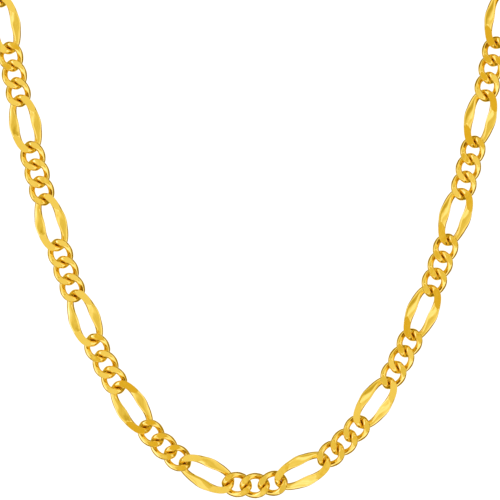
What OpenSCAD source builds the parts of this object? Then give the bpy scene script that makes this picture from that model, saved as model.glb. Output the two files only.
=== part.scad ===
// Figaro necklace chain: three short links, then one long link, all the way
// round a closed loop that hangs from the nape. Units are millimetres.
// The nape is the origin, the wearer faces -Y and +Z is up.

/* [Wire] */
// Diameter of the round wire that every link is bent from
wire_d = 1.2; // [1:0.05:1.3]
// Free play between two links where they pull on each other
link_gap = 0.2; // [0.2:0.01:0.35]
// Thickness to which the front and the back of the chain are ground flat
ground_t = 2.3; // [2:0.05:3]

/* [Short link] */
// Outer length of a short link
short_l = 6.2; // [6.1:0.05:7]
// Outer width of a short link
short_w = 5.1; // [4.9:0.05:6]
// Width of a short link's side at its middle
short_side_w = 1.3; // [1.2:0.05:1.5]
// Angle by which each end of a short link is turned out of its plane
short_turn = 46; // [44:1:50]

/* [Long link] */
// Outer length of a long link
long_l = 12.1; // [10:0.1:15]
// Outer width of a long link
long_w = 6.4; // [6:0.1:7.5]
// Width of a long link's side at its middle, where it is hammered out
long_side_w = 1.85; // [1.4:0.05:2.1]
// Thickness of a long link's side at its middle
long_side_t = 0.95; // [0.7:0.05:1.2]
// Angle by which each end of a long link is turned out of its plane
long_turn = 42; // [40:1:46]
// Angle by which a long link leans in its own plane
long_lean = 1.5; // [0:0.1:3]

/* [Loop] */
// Number of long links on each side of the lowest short link
long_links_per_side = 13; // [12:1:16]
// Number of short links between two long ones
short_links_in_row = 3; // [3:2:5]
// Radius of the bend at the lowest point
bottom_r = 20.84; // [17:0.1:30]
// Height of the front stretch that hangs in one upright plane
front_h = 97.2; // [80:0.1:110]
// Height of the nape above the front stretch
nape_rise = 66; // [50:1:80]
// Distance from the lowest point to the centre of the lowest short link
middle_shift = 0.55; // [0:0.05:1.5]

/* [Clasp] */
// Length of the clasp
clasp_l = 11; // [10:0.5:14]
// Width of the clasp's wide end
clasp_w = 5; // [4.5:0.1:6]
// Width of the clasp's narrow end
clasp_eye_w = 3.6; // [3.4:0.1:4.4]
// Thickness of the clasp
clasp_t = 1.4; // [1:0.1:2]
// Width of metal between a hole of the clasp and its end
clasp_rim = 0.9; // [0.8:0.05:1.1]
// Inner diameter of the two rings that join the clasp to the chain
ring_id = 2.9; // [2.8:0.1:3.6]
// Diameter of the ring wire
ring_wire = 0.8; // [0.6:0.05:0.9]
// Play of a ring all round in its hole in the clasp
hole_play = 0.3; // [0.25:0.05:0.5]

/* [Hidden] */
$fn = 48;

// Kinds of link, and how many points go round each link and round its wire
SHORT = 0;
LONG = 1;
RING_STEPS = [12, 16];
WIRE_STEPS = [5, 6];
// How square a link's ends are: 2 is an ellipse, more is squarer
SQUARENESS = 3;

// Points that the hidden stretch of the loop bends towards, measured as shares:
// how far up from the front stretch, and how far out from the nape
shoulder_pull = 0.9;
nape_out = 60;
// Bend of the hidden stretch, as wide as a neck
neck_r = 58;
// Steps along the hidden stretch, and halvings that find its depth
ROUTE_STEPS = 48;
DEPTH_HALVINGS = 24;
DEPTH_LIMIT = 400;

// Kinds of link from the lowest one outwards, along one side
short_row = [for (i = [1:short_links_in_row]) SHORT];
side_kinds = [
  for (i = [1:floor(short_links_in_row / 2)]) SHORT,
  for (i = [1:long_links_per_side]) each concat([LONG], short_row)
];

// Distance between the two points where a link meets its neighbours
function pitch(kind) = (kind == LONG ? long_l : short_l) - 2 * wire_d - link_gap;

// Catenary of the front stretch, by the length from its lowest point
front_s = sqrt(pow(front_h, 2) + 2 * bottom_r * front_h);
function front_height(s) = sqrt(pow(bottom_r, 2) + s * s) - bottom_r;
function front_half_width(s) = bottom_r * ln(s / bottom_r + sqrt(pow(s / bottom_r, 2) + 1));
function front_bend_r(s) = bottom_r + s * s / bottom_r;

// Extra length of route that a link spans, because a link is straight
function chord_extra(s, p) = pow(p, 3) / 24 / pow(abs(s) < front_s ? front_bend_r(s) : neck_r, 2);

// Places along the route where the links of one side meet; dir is 1 or -1
function meeting_places(dir) = [
  for (
    i = 0, s = middle_shift + dir * pitch(SHORT) / 2;
    i <= len(side_kinds);
    p = i < len(side_kinds) ? pitch(side_kinds[i]) : 0,
    s = s + dir * (p + chord_extra(s + dir * p / 2, p)),
    i = i + 1
  ) s
];
places_right = meeting_places(1);
places_left = meeting_places(-1);

// Lengths from the middle of the clasp to its holes, its rings and the last links
hole_r = ring_wire / 2 + hole_play;
hole_x = clasp_l / 2 - clasp_rim - hole_r;
ring_x = hole_x + ring_id / 2 + ring_wire / 2;
end_reach = ring_x + ring_id / 2 - link_gap / 2;
half_loop = (places_right[len(side_kinds)] - places_left[len(side_kinds)]) / 2 + end_reach;
// The route is straight across the nape for the clasp and its rings
straight_s = end_reach + 2 * middle_shift;
hidden_s = half_loop - front_s - straight_s;

// Hidden stretch of the route, on the right side
nape_y = clasp_t / 2;
front_top_x = front_half_width(front_s);
front_slope = [bottom_r, 0, front_s] / norm([bottom_r, front_s]);
function bezier(a, b, c, d, t) =
  pow(1 - t, 3) * a + 3 * t * pow(1 - t, 2) * b + 3 * t * t * (1 - t) * c + pow(t, 3) * d;
function hidden_points(depth) =
  let (
    start = [front_top_x, nape_y - depth, -nape_rise],
    finish = [straight_s, nape_y, 0],
    up = start + front_slope * nape_rise * shoulder_pull,
    out = [nape_out, nape_y, 0]
  )
  [for (i = [0:ROUTE_STEPS]) bezier(start, up, out, finish, i / ROUTE_STEPS)];
function path_lengths(points) = [
  for (
    i = 0, s = 0;
    i < len(points);
    s = s + (i + 1 < len(points) ? norm(points[i + 1] - points[i]) : 0),
    i = i + 1
  ) s
];
function depth_between(low, high, halvings) =
  let (middle = (low + high) / 2)
  halvings == 0 ? middle
  : path_lengths(hidden_points(middle))[ROUTE_STEPS] < hidden_s
    ? depth_between(middle, high, halvings - 1)
    : depth_between(low, middle, halvings - 1);
loop_depth = depth_between(0, DEPTH_LIMIT, DEPTH_HALVINGS);
hidden_route = hidden_points(loop_depth);
hidden_lengths = path_lengths(hidden_route);
function hidden_table(axis) = [for (i = [0:ROUTE_STEPS]) [hidden_lengths[i], hidden_route[i][axis]]];
hidden_tables = [for (axis = [0:2]) hidden_table(axis)];

// Point of the route at a length s from the lowest point; s is below 0 on the left
function right_point(s) =
  s < front_s ? [front_half_width(s), nape_y - loop_depth, front_height(s) - front_h - nape_rise]
  : s < front_s + hidden_s ? [for (axis = [0:2]) lookup(s - front_s, hidden_tables[axis])]
  : [half_loop - s, nape_y, 0];
function route_point(s) =
  let (p = right_point(abs(s))) s < 0 ? [-p[0], p[1], p[2]] : p;

// Direction in which the chain's front faces: forwards, then round to the back
function facing(s) =
  let (turn = 180 * min(1, max(0, (abs(s) - front_s) / hidden_s)))
  [sign(s) * sin(turn), -cos(turn), 0];

// Frame of a link between two places: middle, then the ways along, across and out
function unit(v) = v / norm(v);
function link_frame(s0, s1) =
  let (
    p0 = route_point(s0),
    p1 = route_point(s1),
    along = unit(p1 - p0),
    face = facing((s0 + s1) / 2),
    out = unit(face - (face * along) * along)
  )
  [(p0 + p1) / 2, along, cross(out, along), out];
function place_point(frame, v) = frame[0] + v[0] * frame[1] + v[1] * frame[2] + v[2] * frame[3];

// Point of a link's skin, in the link's own frame: t goes round the link and
// a goes round its wire. Both ends are turned opposite ways out of the plane.
function signed_pow(v, e) = sign(v) * pow(abs(v), e);
function link_point(kind, t, a) =
  let (
    r = wire_d / 2,
    l = kind == LONG ? long_l : short_l,
    w = kind == LONG ? long_w : short_w,
    side_w = kind == LONG ? long_side_w : short_side_w,
    side_t = kind == LONG ? long_side_t : wire_d,
    turn = kind == LONG ? long_turn : short_turn,
    lean = kind == LONG ? long_lean : 0,
    half_l = l / 2 - r,
    half_w = w / 2 - side_w / 2,
    x_share = signed_pow(cos(t), 2 / SQUARENESS),
    y_share = signed_pow(sin(t), 2 / SQUARENESS),
    slope = 2 - 2 / SQUARENESS,
    normal = unit([signed_pow(cos(t), slope) / half_l, signed_pow(sin(t), slope) / half_w]),
    side = pow(1 - x_share * x_share, 2),
    spread = (r + (side_w / 2 - r) * side) * cos(a),
    rise = (r + (side_t / 2 - r) * side) * sin(a),
    x = x_share * half_l + spread * normal[0],
    y = y_share * half_w + spread * normal[1],
    twist = -turn * sin(90 * x / (l / 2)),
    y_turned = y * cos(twist) - rise * sin(twist),
    z_turned = y * sin(twist) + rise * cos(twist)
  )
  [
    x * cos(lean) + y_turned * sin(lean),
    y_turned * cos(lean) - x * sin(lean),
    max(-ground_t / 2, min(ground_t / 2, z_turned))
  ];
function link_skin(kind) = [
  for (i = [0:RING_STEPS[kind] - 1], j = [0:WIRE_STEPS[kind] - 1])
    link_point(kind, 360 * i / RING_STEPS[kind], 360 * j / WIRE_STEPS[kind])
];
function link_faces(kind, first) =
  let (n = RING_STEPS[kind], m = WIRE_STEPS[kind])
  [
    for (i = [0:n - 1], j = [0:m - 1])
      let (
        a = first + i * m + j,
        b = first + i * m + (j + 1) % m,
        c = first + (i + 1) % n * m + (j + 1) % m,
        d = first + (i + 1) % n * m + j
      )
      each [[a, b, c], [a, c, d]]
  ];
skins = [link_skin(SHORT), link_skin(LONG)];

// A run of links between the given places, as one set of closed shells
module links(kinds, places) {
  firsts = [
    for (i = 0, first = 0; i < len(kinds); first = first + len(skins[kinds[i]]), i = i + 1) first
  ];
  polyhedron(
    points = [
      for (i = [0:len(kinds) - 1])
        let (
          s0 = min(places[i], places[i + 1]),
          s1 = max(places[i], places[i + 1]),
          frame = link_frame(s0, s1)
        )
        each [for (v = skins[kinds[i]]) place_point(frame, v)]
    ],
    faces = [for (i = [0:len(kinds) - 1]) each link_faces(kinds[i], firsts[i])]
  );
}

// Ring between a chain end and the clasp; side is 1 on the right, -1 on the left
module end_ring(side) {
  translate([side * ring_x - middle_shift, nape_y, 0])
    rotate_extrude()
      translate([ring_id / 2 + ring_wire / 2, 0])
        circle(d = ring_wire);
}

module chain_left() {
  color("goldenrod")
    links(side_kinds, places_left);
}

module chain_right() {
  color("goldenrod")
    links(concat([SHORT], side_kinds), concat([places_left[0]], places_right));
}

module end_ring_left() {
  color("goldenrod")
    end_ring(-1);
}

module end_ring_right() {
  color("goldenrod")
    end_ring(1);
}

// Plain flat clasp with a hole for a ring at each end
module clasp() {
  wide_x = clasp_l / 2 - clasp_w / 2;
  eye_x = clasp_l / 2 - clasp_eye_w / 2;
  color("goldenrod")
    translate([-middle_shift, nape_y + clasp_t / 2, 0])
      rotate([90, 0, 0])
        linear_extrude(clasp_t)
          difference() {
            union() {
              translate([wide_x, 0]) circle(d = clasp_w);
              translate([-eye_x, 0]) circle(d = clasp_eye_w);
              polygon([
                [-eye_x, -clasp_eye_w / 2], [wide_x, -clasp_w / 2],
                [wide_x, clasp_w / 2], [-eye_x, clasp_eye_w / 2]
              ]);
            }
            for (side = [-1, 1]) translate([side * hole_x, 0]) circle(r = hole_r);
          }
}

chain_left();
chain_right();
end_ring_left();
end_ring_right();
clasp();
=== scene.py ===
import math

import bmesh
import bpy
import numpy as np
from mathutils import Matrix, Vector


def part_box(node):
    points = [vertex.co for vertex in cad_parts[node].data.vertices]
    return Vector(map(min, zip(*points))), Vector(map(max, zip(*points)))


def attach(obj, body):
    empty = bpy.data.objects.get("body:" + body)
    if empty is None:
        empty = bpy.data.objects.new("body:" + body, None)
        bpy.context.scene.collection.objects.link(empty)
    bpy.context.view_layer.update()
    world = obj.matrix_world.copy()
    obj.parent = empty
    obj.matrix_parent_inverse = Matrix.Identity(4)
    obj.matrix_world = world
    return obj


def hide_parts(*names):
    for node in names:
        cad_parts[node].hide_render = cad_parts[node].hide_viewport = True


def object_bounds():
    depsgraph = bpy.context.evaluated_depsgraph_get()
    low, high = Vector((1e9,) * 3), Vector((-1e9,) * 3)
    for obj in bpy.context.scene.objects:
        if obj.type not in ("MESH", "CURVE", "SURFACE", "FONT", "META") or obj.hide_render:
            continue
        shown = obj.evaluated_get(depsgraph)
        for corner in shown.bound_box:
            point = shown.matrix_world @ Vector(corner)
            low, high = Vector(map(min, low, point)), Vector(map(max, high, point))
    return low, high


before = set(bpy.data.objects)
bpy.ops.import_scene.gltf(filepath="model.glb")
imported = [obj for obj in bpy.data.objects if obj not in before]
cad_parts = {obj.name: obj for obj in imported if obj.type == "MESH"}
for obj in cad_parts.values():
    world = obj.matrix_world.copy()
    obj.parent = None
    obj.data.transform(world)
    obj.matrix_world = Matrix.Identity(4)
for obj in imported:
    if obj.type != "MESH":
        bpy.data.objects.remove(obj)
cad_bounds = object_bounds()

# Short links of the chain. Each is a length of round gold wire bent into an oval and
# soldered shut. The chain is then twisted like a curb chain, which turns the two ends
# of every link opposite ways, and ground flat on its front and its back.
MM = 0.001
GROUND_DEPTH = 2.3
# Sizes are in mm. Straightness and squareness are powers of an oval, of which 2 is round.
SHORT_LINK = {
    "Length": 6.2,
    "Width": 5.1,
    "Straightness": 2.6,
    "Wire": 1.3,
    "Shoulder": 1.1,
    "Side Width": 1.25,
    "Side Depth": 1.2,
    "Side Reach": 2,
    "Side Squareness": 2.3,
    "Turn": math.radians(48),
    "Press": 0.3,
    "Ground Depth": GROUND_DEPTH,
    "Looseness": math.radians(8),
    "Steps Round Link": 48,
    "Steps Round Wire": 16,
}
LONGEST_SHORT_LINK = 9
END_SHARPNESS = 8
# A link rolls about the chain by all of its looseness and turns the other ways by a tenth
ROLL_AND_SWINGS = (1, 0.1, 0.1)
ROLL_SEED = 3
TONE_SEED = 7
SLIVER = 0.03
SAME_POINT = 0.001
SHARP_ANGLE = math.radians(30)
WORN_EDGE = 0.06
WORN_EDGE_STEPS = 2
JOINED_CORNERS = 0.003


class Signal:
    """A socket of a node tree. A sum written on signals adds the tree's Math nodes."""

    def __init__(self, socket):
        self.socket = socket
        self.tree = socket.id_data

    def out(self, name):
        """Another output of the node that this signal comes from."""
        return Signal(self.socket.node.outputs[name])

    def math(self, operation, *values):
        return add_node(self.tree, "ShaderNodeMath", {"operation": operation}, *values)

    def __add__(self, other):
        return self.math("ADD", self, other)

    def __radd__(self, other):
        return self.math("ADD", other, self)

    def __sub__(self, other):
        return self.math("SUBTRACT", self, other)

    def __rsub__(self, other):
        return self.math("SUBTRACT", other, self)

    def __mul__(self, other):
        return self.math("MULTIPLY", self, other)

    def __rmul__(self, other):
        return self.math("MULTIPLY", other, self)

    def __truediv__(self, other):
        return self.math("DIVIDE", self, other)

    def __rtruediv__(self, other):
        return self.math("DIVIDE", other, self)

    def __pow__(self, other):
        return self.math("POWER", self, other)

    def __rpow__(self, other):
        return self.math("POWER", other, self)

    def __gt__(self, other):
        return self.math("GREATER_THAN", self, other)

    def __lt__(self, other):
        return self.math("LESS_THAN", self, other)

    def __neg__(self):
        return self.math("MULTIPLY", self, -1)

    def __abs__(self):
        return self.math("ABSOLUTE", self)

    def sine(self):
        return self.math("SINE", self)

    def cosine(self):
        return self.math("COSINE", self)

    def sign(self):
        return self.math("SIGN", self)

    def at_least(self, lowest):
        return self.math("MAXIMUM", self, lowest)

    def signed_power(self, exponent):
        """A power of the signal's size, with the signal's own sign."""
        return self.sign() * abs(self) ** exponent

    def step(self, low, high):
        """0 up to the low value and 1 from the high one, with a soft change between them."""
        soft = {"interpolation_type": "SMOOTHSTEP"}
        return add_node(self.tree, "ShaderNodeMapRange", soft, self, low, high)

    def mix(self, first, second):
        """The first colour where the signal is 0 and the second where it is 1."""
        return add_node(self.tree, "ShaderNodeMix", {"data_type": "RGBA"}, self, first, second)


def add_node(tree, kind, settings, *values, **named):
    """Adds a node. Its settings are set first, then its sockets, by place or by name."""
    node = tree.nodes.new(kind)
    for name, value in settings.items():
        setattr(node, name, value)
    sockets = dict(zip([socket for socket in node.inputs if socket.enabled], values))
    for name, value in named.items():
        sockets[node.inputs[name.replace("_", " ")]] = value
    for socket, value in sockets.items():
        if isinstance(value, Signal):
            tree.links.new(value.socket, socket)
        elif isinstance(value, list):
            for signal in value:
                tree.links.new(signal.socket, socket)
        else:
            socket.default_value = value
    return next((Signal(socket) for socket in node.outputs if socket.enabled), None)


def swept_tube(tree, given):
    """A ring swept round a ring, of which only the angle round each of them is kept."""
    index = add_node(tree, "GeometryNodeInputIndex", {})
    rings = []
    angles = []
    for steps in ("Steps Round Link", "Steps Round Wire"):
        ring = add_node(tree, "GeometryNodeCurvePrimitiveCircle", {}, Resolution=given.out(steps))
        held = add_node(tree, "GeometryNodeCaptureAttribute", {}, ring)
        held.socket.node.capture_items.new("FLOAT", "Angle")
        angle = index * math.tau / given.out(steps)
        tree.links.new(angle.socket, held.socket.node.inputs["Angle"])
        rings.append(held)
        angles.append(held.out("Angle"))
    tube = add_node(tree, "GeometryNodeCurveToMesh", {}, Curve=rings[0], Profile_Curve=rings[1])
    return tube, *angles


def bent_wire(tree, given, around, section):
    """The place of every point of the wire, from its angles round the link and the wire."""
    length = given.out("Length")
    width = given.out("Width")
    wire = given.out("Wire")
    side_width = given.out("Side Width")
    side_depth = given.out("Side Depth")
    shoulder = given.out("Shoulder")
    straightness = given.out("Straightness")

    # The middle line has straight sides and round ends
    half_length = length / 2 - wire / 2
    half_width = width / 2 - side_width / 2
    x_share = around.cosine()
    y_share = around.sine().sign() * (1 - abs(x_share) ** straightness) ** 0.5
    middle_x = x_share * half_length
    middle_y = y_share * half_width
    normal_x = straightness * x_share.signed_power(straightness - 1) / half_length
    normal_y = 2 * y_share / half_width
    steepness = (normal_x * normal_x + normal_y * normal_y) ** 0.5

    # The wire is spread and squared at its sides, narrow at its shoulders and round at its ends
    side = (1 - x_share * x_share) ** given.out("Side Reach")
    end = abs(x_share) ** END_SHARPNESS
    corner = 2 / (2 + (given.out("Side Squareness") - 2) * side)
    narrowed = shoulder + (wire - shoulder) * end
    spread = (narrowed + (side_width - shoulder) * side) / 2 * section.cosine().signed_power(corner)
    rise = (narrowed + (side_depth - shoulder) * side) / 2 * section.sine().signed_power(corner)
    x = middle_x + spread * normal_x / steepness
    y = middle_y + spread * normal_y / steepness

    # Twisting turns the ends opposite ways, and rolling the chain flat spreads what stands out
    twist = -given.out("Turn") * x_share
    height = middle_y * twist.sine()
    over = abs(height) + wire / 2 - given.out("Ground Depth") / 2
    pressed = 1 + given.out("Press") * over.at_least(0) / (wire / 2)
    across = y * twist.cosine() - rise * twist.sine()
    middle_across = middle_y * twist.cosine()
    return add_node(
        tree, "ShaderNodeCombineXYZ", {},
        middle_x + (x - middle_x) * pressed,
        middle_across + (across - middle_across) * pressed,
        y * twist.sine() + rise * twist.cosine(),
    )


def ground_flat(tree, given, bent):
    """What grinding leaves of a link, which is what lies between the two ground planes."""
    slab_size = add_node(
        tree, "ShaderNodeCombineXYZ", {},
        given.out("Length") * 2, given.out("Width") * 2, given.out("Ground Depth"),
    )
    slab = add_node(tree, "GeometryNodeMeshCube", {}, Size=slab_size)
    ground = add_node(
        tree, "GeometryNodeMeshBoolean", {"operation": "INTERSECT", "solver": "EXACT"},
        Mesh_2=[bent, slab],
    )
    clean = add_node(tree, "GeometryNodeMergeByDistance", {}, Geometry=ground, Distance=SLIVER)
    smooth = add_node(tree, "GeometryNodeSetShadeSmooth", {"domain": "FACE"}, Geometry=clean)
    bend = add_node(tree, "GeometryNodeInputMeshEdgeAngle", {})
    return add_node(
        tree, "GeometryNodeSetShadeSmooth", {"domain": "EDGE"},
        Geometry=smooth, Selection=bend > SHARP_ANGLE, Shade_Smooth=False,
    )


def stored(tree, geometry, name, data_type, domain, value):
    """The geometry with a value kept on it under a name, which the gold reads."""
    kind = {"data_type": data_type, "domain": domain}
    return add_node(
        tree, "GeometryNodeStoreNamedAttribute", kind, Geometry=geometry, Name=name, Value=value
    )


def set_out(tree, given, link):
    """One link in every place, turned along the chain and outwards, then rolled at random."""
    along, outwards = (
        add_node(tree, "GeometryNodeInputNamedAttribute", {"data_type": "FLOAT_VECTOR"}, name)
        for name in ("along", "outwards")
    )
    turned = add_node(
        tree, "FunctionNodeAxesToRotation", {"primary_axis": "X", "secondary_axis": "Z"},
        along, outwards,
    )
    placed = add_node(
        tree, "GeometryNodeInstanceOnPoints", {},
        Points=given.out("Places"), Instance=link, Rotation=turned, Scale=(MM, MM, MM),
    )
    least = tuple(-most for most in ROLL_AND_SWINGS)
    sway = add_node(
        tree, "FunctionNodeRandomValue", {"data_type": "FLOAT_VECTOR"},
        least, ROLL_AND_SWINGS, Seed=ROLL_SEED,
    )
    loose = add_node(
        tree, "ShaderNodeVectorMath", {"operation": "SCALE"}, sway, given.out("Looseness")
    )
    swung = add_node(tree, "GeometryNodeRotateInstances", {}, Instances=placed, Rotation=loose)
    chance = add_node(tree, "FunctionNodeRandomValue", {"data_type": "FLOAT"}, Seed=TONE_SEED)
    toned = stored(tree, swung, "own_tone", "FLOAT", "INSTANCE", chance)
    return add_node(tree, "GeometryNodeRealizeInstances", {}, Geometry=toned)


def link_tree():
    """Geometry Nodes that make one link from its sizes and set it in every place of a chain."""
    tree = bpy.data.node_groups.new("chain_links", "GeometryNodeTree")
    sockets = tree.interface
    sockets.new_socket("Places", in_out="INPUT", socket_type="NodeSocketGeometry")
    for name in SHORT_LINK:
        kind = "NodeSocketInt" if name.startswith("Steps") else "NodeSocketFloat"
        sockets.new_socket(name, in_out="INPUT", socket_type=kind)
    sockets.new_socket("Gold", in_out="INPUT", socket_type="NodeSocketMaterial")
    sockets.new_socket("Links", in_out="OUTPUT", socket_type="NodeSocketGeometry")
    given = add_node(tree, "NodeGroupInput", {})
    tube, around, section = swept_tube(tree, given)
    place = bent_wire(tree, given, around, section)
    bent = add_node(tree, "GeometryNodeSetPosition", {}, Geometry=tube, Position=place)
    link = ground_flat(tree, given, bent)
    own_place = add_node(tree, "GeometryNodeInputPosition", {})
    own_end = given.out("Length") / 2 - given.out("Wire")
    link = stored(tree, link, "own_place", "FLOAT_VECTOR", "POINT", own_place)
    link = stored(tree, link, "own_end", "FLOAT", "POINT", own_end)
    solid = set_out(tree, given, link)
    gilt = add_node(
        tree, "GeometryNodeSetMaterial", {}, Geometry=solid, Material=given.out("Gold")
    )
    add_node(tree, "NodeGroupOutput", {}, gilt)
    return tree


def link_places(node, long_ones):
    """Middle, way along and way outwards of each link of one kind in a CAD chain node."""
    chain = bmesh.new()
    chain.from_mesh(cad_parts[node].data)
    bmesh.ops.remove_doubles(chain, verts=chain.verts, dist=SAME_POINT * MM)
    middle = np.array(sum(cad_bounds, Vector()) / 2)
    left = set(chain.verts)
    places = []
    while left:
        shell = set()
        reached = {left.pop()}
        while reached:
            shell |= reached
            near = {edge.other_vert(vert) for vert in reached for edge in vert.link_edges}
            reached = near - shell
        left -= shell
        # A link is longest along the chain and flattest outwards
        corners = np.array(sorted(tuple(vert.co) for vert in shell))
        centre = corners.mean(0)
        outwards, across, along = np.linalg.eigh(np.cov((corners - centre).T))[1].T
        if outwards @ (centre - middle) < 0:
            outwards = -outwards
        length = np.ptp(corners @ along)
        if (length > LONGEST_SHORT_LINK * MM) == long_ones:
            places.append((centre, along, outwards))
    chain.free()
    return sorted(places, key=lambda place: tuple(place[0]))


def add_object(name, data):
    """A new object in the scene, at the origin."""
    added = bpy.data.objects.new(name, data)
    bpy.context.scene.collection.objects.link(added)
    return added


def make_links(name, places, sizes, gold):
    """A plain mesh of one kind of link, set out in the given places."""
    middles, along, outwards = zip(*places)
    seeds = bpy.data.meshes.new(name)
    seeds.from_pydata(middles, [], [])
    for attribute, ways in (("along", along), ("outwards", outwards)):
        layer = seeds.attributes.new(attribute, "FLOAT_VECTOR", "POINT")
        layer.data.foreach_set("vector", np.ravel(ways))
    piece = add_object(name, seeds)
    maker = piece.modifiers.new("links", "NODES")
    maker.node_group = link_maker
    inputs = {**sizes, "Gold": gold}
    for socket in link_maker.interface.items_tree:
        if socket.name in inputs:
            maker[socket.identifier] = inputs[socket.name]
    worn = piece.modifiers.new("worn edges", "BEVEL")
    worn.width = WORN_EDGE * MM
    worn.segments = WORN_EDGE_STEPS
    worn.limit_method = "ANGLE"
    worn.angle_limit = SHARP_ANGLE
    piece.modifiers.new("joined corners", "WELD").merge_threshold = JOINED_CORNERS * MM
    piece.modifiers.new("flat ground faces", "WEIGHTED_NORMAL").keep_sharp = True
    shown = piece.evaluated_get(bpy.context.evaluated_depsgraph_get())
    made = bpy.data.meshes.new_from_object(shown)
    piece.modifiers.clear()
    piece.data = made
    return piece


def empty_tree(owner):
    """The node tree of a material or a world, with none of the nodes it starts with."""
    owner.use_nodes = True
    owner.node_tree.nodes.clear()
    return owner.node_tree


# Colours of the gold and its finish, in mm. Every link has a tone of its own between 0 and 1,
# which makes it paler or deeper and gives it other clouds and scratches than its neighbours.
PALE_GOLD = (0.99, 0.79, 0.24, 1)
DEEP_GOLD = (0.94, 0.72, 0.19, 1)
# The darker gold inside each end is painted shade where the next link sits, together with rubbing
RUBBED_AND_SHADED_GOLD = (0.74, 0.47, 0.08, 1)
WORN_GOLD = (1, 0.8, 0.26, 1)
PALE_BY_TONE = 0.6
PALE_BY_CLOUDS = 0.4
NOISE_BETWEEN_TONES = 40
# How far the painted shade and rubbing inside each end reach, as squared distances in mm, and how
# strongly the shade colour is laid on
RUBBED_AND_SHADED_FULLY_SQUARED = 0.1
RUBBED_AND_SHADED_UP_TO_SQUARED = 0.9
RUBBED_AND_SHADED_EVENLY = 0.55
RUBBED_AND_SHADED_BY_CLOUDS = 0.4
RIM_DEPTH = 0.16
FULL_RIM_DEPTH = 0.05
FACE_DEPTH = 0.02
RIM_SHARE = 0.5
LINES_ON_FLANKS = 0.3
ROUGHNESS = {"polish": 0.06, "clouds": 0.07, "lines": 0.06, "rubbing": 0.2, "wear": 0.03}
RELIEF = {"waves": 0.02, "lines": 0.0012, "marks": 0.0006}


def polished_gold(name, half_depth):
    """Gold with cloudy polish, faint scratches, worn rims on flat faces, and painted shade and
    rubbing inside the ends.
    """
    gold = bpy.data.materials.new(name)
    tree = empty_tree(gold)
    place = add_node(tree, "ShaderNodeAttribute", {"attribute_name": "own_place"}).out("Vector")
    tone = add_node(tree, "ShaderNodeAttribute", {"attribute_name": "own_tone"}).out("Fac")
    inner_end = add_node(tree, "ShaderNodeAttribute", {"attribute_name": "own_end"}).out("Fac")
    axes = add_node(tree, "ShaderNodeSeparateXYZ", {}, place)
    x, y, z = (axes.out(axis) for axis in "XYZ")

    def grain(stretch, scale, detail):
        """Noise between 0 and 1 on the piece's own places in mm, different on every link."""
        spot = add_node(tree, "ShaderNodeVectorMath", {"operation": "MULTIPLY"}, place, stretch)
        away = tone * NOISE_BETWEEN_TONES
        moved = add_node(tree, "ShaderNodeVectorMath", {"operation": "ADD"}, spot, away)
        return add_node(tree, "ShaderNodeTexNoise", {}, moved, Scale=scale, Detail=detail)

    cloud = grain(stretch=(1, 1, 1), scale=0.8, detail=2)
    waves = grain(stretch=(1, 1.6, 1.6), scale=0.7, detail=1)
    lines = grain(stretch=(0.35, 5, 5), scale=1, detail=3)
    marks = grain(stretch=(4, 0.5, 4), scale=1, detail=3)

    # Inside each end, where the next link sits and rubs, the gold is rougher and painted darker as
    # shade. The rims of the ground faces wear bright
    from_end_squared = (abs(x) - inner_end) ** 2 + y ** 2 + z ** 2
    rubbed_and_shaded = 1 - from_end_squared.step(RUBBED_AND_SHADED_FULLY_SQUARED, RUBBED_AND_SHADED_UP_TO_SQUARED)
    height = abs(z)
    face = height.step(half_depth - FACE_DEPTH, half_depth)
    rim = height.step(half_depth - RIM_DEPTH, half_depth - FULL_RIM_DEPTH) * (1 - face)

    colour = (PALE_BY_TONE * tone + PALE_BY_CLOUDS * cloud).mix(DEEP_GOLD, PALE_GOLD)
    # Painted shade: the gold goes darker inside each end, where the next link sits
    colour = (rubbed_and_shaded * (RUBBED_AND_SHADED_EVENLY + RUBBED_AND_SHADED_BY_CLOUDS * cloud)).mix(colour, RUBBED_AND_SHADED_GOLD)
    colour = (rim * RIM_SHARE).mix(colour, WORN_GOLD)
    roughness = ROUGHNESS["polish"] + ROUGHNESS["clouds"] * cloud
    roughness = roughness + ROUGHNESS["lines"] * lines * face
    roughness = roughness + ROUGHNESS["rubbing"] * rubbed_and_shaded - ROUGHNESS["wear"] * rim
    relief = RELIEF["waves"] * waves + RELIEF["lines"] * lines * (LINES_ON_FLANKS + face)
    relief = relief + RELIEF["marks"] * marks
    bumps = add_node(tree, "ShaderNodeBump", {}, Height=relief, Distance=MM, Strength=1)
    shader = add_node(
        tree, "ShaderNodeBsdfPrincipled", {},
        Base_Color=colour, Metallic=1, Roughness=roughness, Normal=bumps,
    )
    add_node(tree, "ShaderNodeOutputMaterial", {}, shader)
    return gold


link_maker = link_tree()
gold = polished_gold("polished_gold", GROUND_DEPTH / 2)
for side in ("left", "right"):
    chain = f"chain_{side}"
    piece = make_links(f"short_links_{side}", link_places(chain, False), SHORT_LINK, gold)
    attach(piece, "root")
    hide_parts(chain)

# Long links of the chain. One follows every three short ones. Their gold wire is hammered
# wide and thin along both sides before they are twisted and ground with the others.
LONG_LINK = {
    **SHORT_LINK,
    "Length": 12.1,
    "Width": 6.45,
    "Straightness": 4.8,
    "Side Width": 2,
    "Side Depth": 0.9,
    "Side Reach": 4.5,
    "Side Squareness": 4,
    "Turn": math.radians(44),
    "Steps Round Link": 64,
}
for side in ("left", "right"):
    chain = f"chain_{side}"
    piece = make_links(f"long_links_{side}", link_places(chain, True), LONG_LINK, gold)
    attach(piece, "root")
    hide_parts(chain)

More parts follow.
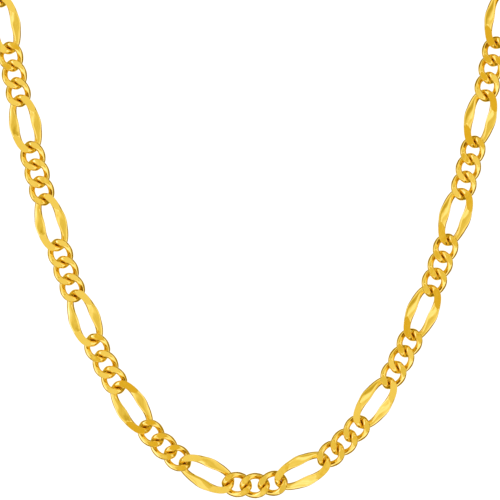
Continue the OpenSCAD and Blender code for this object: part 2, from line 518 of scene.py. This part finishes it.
# End rings. Each is a plain round ring of thinner gold wire, soldered shut, that joins
# the last link of its side to the clasp at the nape. Nothing on it is ground flat.
RING_WIRE = 0.76
END_RING = {
    **SHORT_LINK,
    "Length": 4.5,
    "Width": 4.5,
    "Straightness": 2,
    "Wire": RING_WIRE,
    "Shoulder": RING_WIRE,
    "Side Width": RING_WIRE,
    "Side Depth": RING_WIRE,
    "Side Squareness": 2,
    "Turn": 0,
    "Press": 0,
    "Ground Depth": 1,
    "Looseness": 0,
    "Steps Round Link": 64,
    "Steps Round Wire": 24,
}
ring_gold = polished_gold("end_ring_gold", RING_WIRE / 2)
for side in ("left", "right"):
    ring = f"end_ring_{side}"
    piece = make_links(f"round_{ring}", link_places(ring, False), END_RING, ring_gold)
    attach(piece, "root")
    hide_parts(ring)

# Clasp. One plain flat plate of gold with a round hole near each end for the end rings,
# wider at the end on the right. It is sawn from sheet and its edges are filed round.
CLASP_LENGTH = 11
CLASP_THICKNESS = 1.4
CLASP_WIDE_END = 5
CLASP_NARROW_END = 3.6
CLASP_HOLE = 1.4
CLASP_HOLE_FROM_END = 1.6
CLASP_ROUNDING = 0.3
CLASP_ROUNDING_STEPS = 5
CLASP_ARC_STEPS = 40
CLASP_TONE = 0.4
FLAT_ENOUGH = 0.999


def arc(middle_x, diameter, first_angle, last_angle):
    """Points of a round stretch of the plate's outline, in mm and degrees."""
    radius = diameter / 2
    angles = np.radians(np.linspace(first_angle, last_angle, CLASP_ARC_STEPS))
    return [(middle_x + radius * math.cos(a), radius * math.sin(a)) for a in angles]


outer_edge = []
holes = []
for sign, end_width in ((1, CLASP_WIDE_END), (-1, CLASP_NARROW_END)):
    end_x = sign * (CLASP_LENGTH - end_width) / 2
    outer_edge += arc(end_x, end_width, -90 * sign, -90 * sign + 180)
    hole_x = sign * (CLASP_LENGTH / 2 - CLASP_HOLE_FROM_END)
    holes.append(arc(hole_x, CLASP_HOLE, 0, 360 - 360 / CLASP_ARC_STEPS))
sheet = bpy.data.curves.new("plain_clasp", "CURVE")
sheet.dimensions = "2D"
sheet.fill_mode = "BOTH"
sheet.extrude = CLASP_THICKNESS / 2 - CLASP_ROUNDING
sheet.bevel_depth = CLASP_ROUNDING
sheet.bevel_resolution = CLASP_ROUNDING_STEPS
sheet.offset = -CLASP_ROUNDING
for outline in (outer_edge, *holes):
    spline = sheet.splines.new("POLY")
    spline.points.add(len(outline) - 1)
    for point, (x, y) in zip(spline.points, outline):
        point.co = (x, y, 0, 1)
    spline.use_cyclic_u = True
cut = bpy.data.objects.new("plain_clasp", sheet)
plate = bmesh.new()
plate.from_mesh(cut.to_mesh())
bmesh.ops.remove_doubles(plate, verts=plate.verts, dist=SAME_POINT)
bmesh.ops.recalc_face_normals(plate, faces=plate.faces)
own_place = plate.verts.layers.float_vector.new("own_place")
own_end = plate.verts.layers.float.new("own_end")
own_tone = plate.verts.layers.float.new("own_tone")
for vert in plate.verts:
    vert[own_place] = vert.co
    vert[own_end] = CLASP_LENGTH / 2 - CLASP_HOLE_FROM_END
    vert[own_tone] = CLASP_TONE
for face in plate.faces:
    face.smooth = True
for edge in plate.edges:
    flat = [abs(face.normal.z) > FLAT_ENOUGH for face in edge.link_faces]
    edge.smooth = all(flat) or not any(flat)
narrow_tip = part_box("clasp")[0]
clasp_middle = Vector((
    narrow_tip.x + CLASP_LENGTH / 2 * MM, narrow_tip.y + CLASP_THICKNESS / 2 * MM, 0
))
upright = Matrix.Rotation(math.radians(90), 4, "X")
plate.transform(Matrix.Translation(clasp_middle) @ upright @ Matrix.Scale(MM, 4))
made = bpy.data.meshes.new("plain_clasp")
plate.to_mesh(made)
plate.free()
bpy.data.objects.remove(cut)
made.materials.append(polished_gold("clasp_gold", CLASP_THICKNESS / 2))
clasp = add_object("plain_clasp", made)
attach(clasp, "root")
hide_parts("clasp")

# Light tent. White cloth stands all round the chain and the polished gold mirrors it, so
# each soft panel gives one kind of face its tone. Everything else sees plain white.
TENT_CLOTH = 0.33
TENT_PANELS = {
    # Azimuth, elevation, half width and softness in degrees, then strength
    "front": (-3, 2, 77, 12, 0.72),
    "shade in the middle of the front": (0, 0, 48, 14, -0.135),
    "back": (180, 0, 46, 14, 0.5),
    "left": (-95, 5, 25, 15, 0.25),
    "right": (90, 0, 15, 15, 0.12),
    "top": (0, 90, 15, 15, 0.15),
    "bottom": (0, -68, 22, 15, 0.12),
    "shade above": (12, 66, 22, 15, -0.23),
    "upper right": (21, 29, 8, 9, 0.21),
    "lower left": (-26, -24, 8, 9, 0.21),
    "shade at the lower right": (16, -30, 19, 8, -0.1),
    "shade at the upper left": (-18, 26, 15, 8, -0.1),
    "near left": (-38, 0, 10, 10, 0.13),
}
TENT_UNEVENNESS = 0.16
AMBER_PANEL = (9, 2, 3, 8, 1)
# Strength, what the amber panel takes away, and contrast, for each colour of the light
TENT_COLOURS = {"red": (1.05, 0.14, 1.3), "green": (0.93, 0.22, 1.65), "blue": (0.64, 0.33, 4.6)}
WHITE = (1, 1, 1, 1)
WHITE_STRENGTH = 1.1
scene = bpy.context.scene
scene.view_settings.view_transform = "Standard"
world = bpy.data.worlds.new("studio")
# The gold's own reflections find the tent, so its light isn't sampled as a lamp's is
world.cycles.sampling_method = "NONE"
scene.world = world
sky = empty_tree(world)
looking = add_node(sky, "ShaderNodeTexCoord", {}).out("Generated")


def panel(azimuth, elevation, half_width, softness, strength):
    """Light of one soft panel, whose azimuth is 0 at the camera and grows to the right."""
    level = math.cos(math.radians(elevation))
    middle = (
        math.sin(math.radians(azimuth)) * level,
        -math.cos(math.radians(azimuth)) * level,
        math.sin(math.radians(elevation)),
    )
    nearness = add_node(
        sky, "ShaderNodeVectorMath", {"operation": "DOT_PRODUCT"}, looking, middle
    ).out("Value")
    outer = math.cos(math.radians(half_width + softness))
    inner = math.cos(math.radians(half_width))
    return strength * nearness.step(outer, inner)


tent = TENT_CLOTH
for place in TENT_PANELS.values():
    tent = tent + panel(*place)
folds = add_node(sky, "ShaderNodeTexNoise", {}, looking, Scale=7, Detail=1)
tent = tent + TENT_UNEVENNESS * (folds - 0.5)
amber = panel(*AMBER_PANEL)
shades = add_node(sky, "ShaderNodeCombineColor", {}, *(
    strength * (tent - taken * amber) ** contrast
    for strength, taken, contrast in TENT_COLOURS.values()
))
shine = add_node(sky, "ShaderNodeBackground", {}, shades, 1)
plain_white = add_node(sky, "ShaderNodeBackground", {}, WHITE, WHITE_STRENGTH)
glossy = add_node(sky, "ShaderNodeLightPath", {}).out("Is Glossy Ray")
seen = add_node(sky, "ShaderNodeMixShader", {}, glossy, plain_white, shine)
add_node(sky, "ShaderNodeOutputWorld", {}, seen)

# Floor. A plain pale sheet of plaster lies well below the chain, too low for the main
# view. The gold doesn't mirror it.
FLOOR_HEIGHT = -200 * MM
FLOOR_SIZE = 600 * MM
FLOOR_MIDDLE_Y = -50 * MM
PLASTER_SHADES = ((0.8, 0.79, 0.77, 1), (0.84, 0.83, 0.82, 1))
corners = [
    (x * FLOOR_SIZE / 2, y * FLOOR_SIZE / 2 + FLOOR_MIDDLE_Y, FLOOR_HEIGHT)
    for x, y in ((-1, -1), (1, -1), (1, 1), (-1, 1))
]
floor_mesh = bpy.data.meshes.new("floor")
floor_mesh.from_pydata(corners, [], [(0, 1, 2, 3)])
floor = add_object("floor", floor_mesh)
floor.visible_glossy = False
plaster = bpy.data.materials.new("pale_plaster")
tree = empty_tree(plaster)
spot = add_node(tree, "ShaderNodeTexCoord", {}).out("Object")
cloud = add_node(tree, "ShaderNodeTexNoise", {}, spot, Scale=9, Detail=3)
shader = add_node(
    tree, "ShaderNodeBsdfPrincipled", {}, Base_Color=cloud.mix(*PLASTER_SHADES), Roughness=0.8
)
add_node(tree, "ShaderNodeOutputMaterial", {}, shader)
floor_mesh.materials.append(plaster)

# Softboxes. One large lamp hangs over the chain and a smaller one stands at its left.
# Both are aimed at the middle of the chain's front, and neither shows in the gold.
SOFTBOXES = {
    # Place, width and power
    "overhead_softbox": ((0, -0.05, 0.5), 0.5, 0.8),
    "side_softbox": ((-0.6, -0.5, 0.2), 0.4, 0.5),
}
SOFTBOX_AIM = Vector((0, -0.05, -0.1))
for name, (place, width, power) in SOFTBOXES.items():
    light = add_object(name, bpy.data.lights.new(name, "AREA"))
    light.data.size = width
    light.data.energy = power
    light.location = place
    aim = SOFTBOX_AIM - light.location
    light.rotation_euler = aim.to_track_quat("-Z", "Y").to_euler()
    light.visible_glossy = False
    light.visible_camera = False

# Camera. It looks level at the front stretch of the chain from far away through a long
# lens, and the picture is 100 mm wide at the chain.
LENS = 200
VIEW_WIDTH = 100 * MM
VIEW_MIDDLE_X = -0.4 * MM
VIEW_MIDDLE_Z = -116 * MM
camera = add_object("camera", bpy.data.cameras.new("camera"))
camera.data.lens = LENS
distance = VIEW_WIDTH * LENS / camera.data.sensor_width
front_stretch_y = cad_bounds[0].y + GROUND_DEPTH / 2 * MM
camera.location = (VIEW_MIDDLE_X, front_stretch_y - distance, VIEW_MIDDLE_Z)
camera.rotation_euler = (math.radians(90), 0, 0)
scene.camera = camera
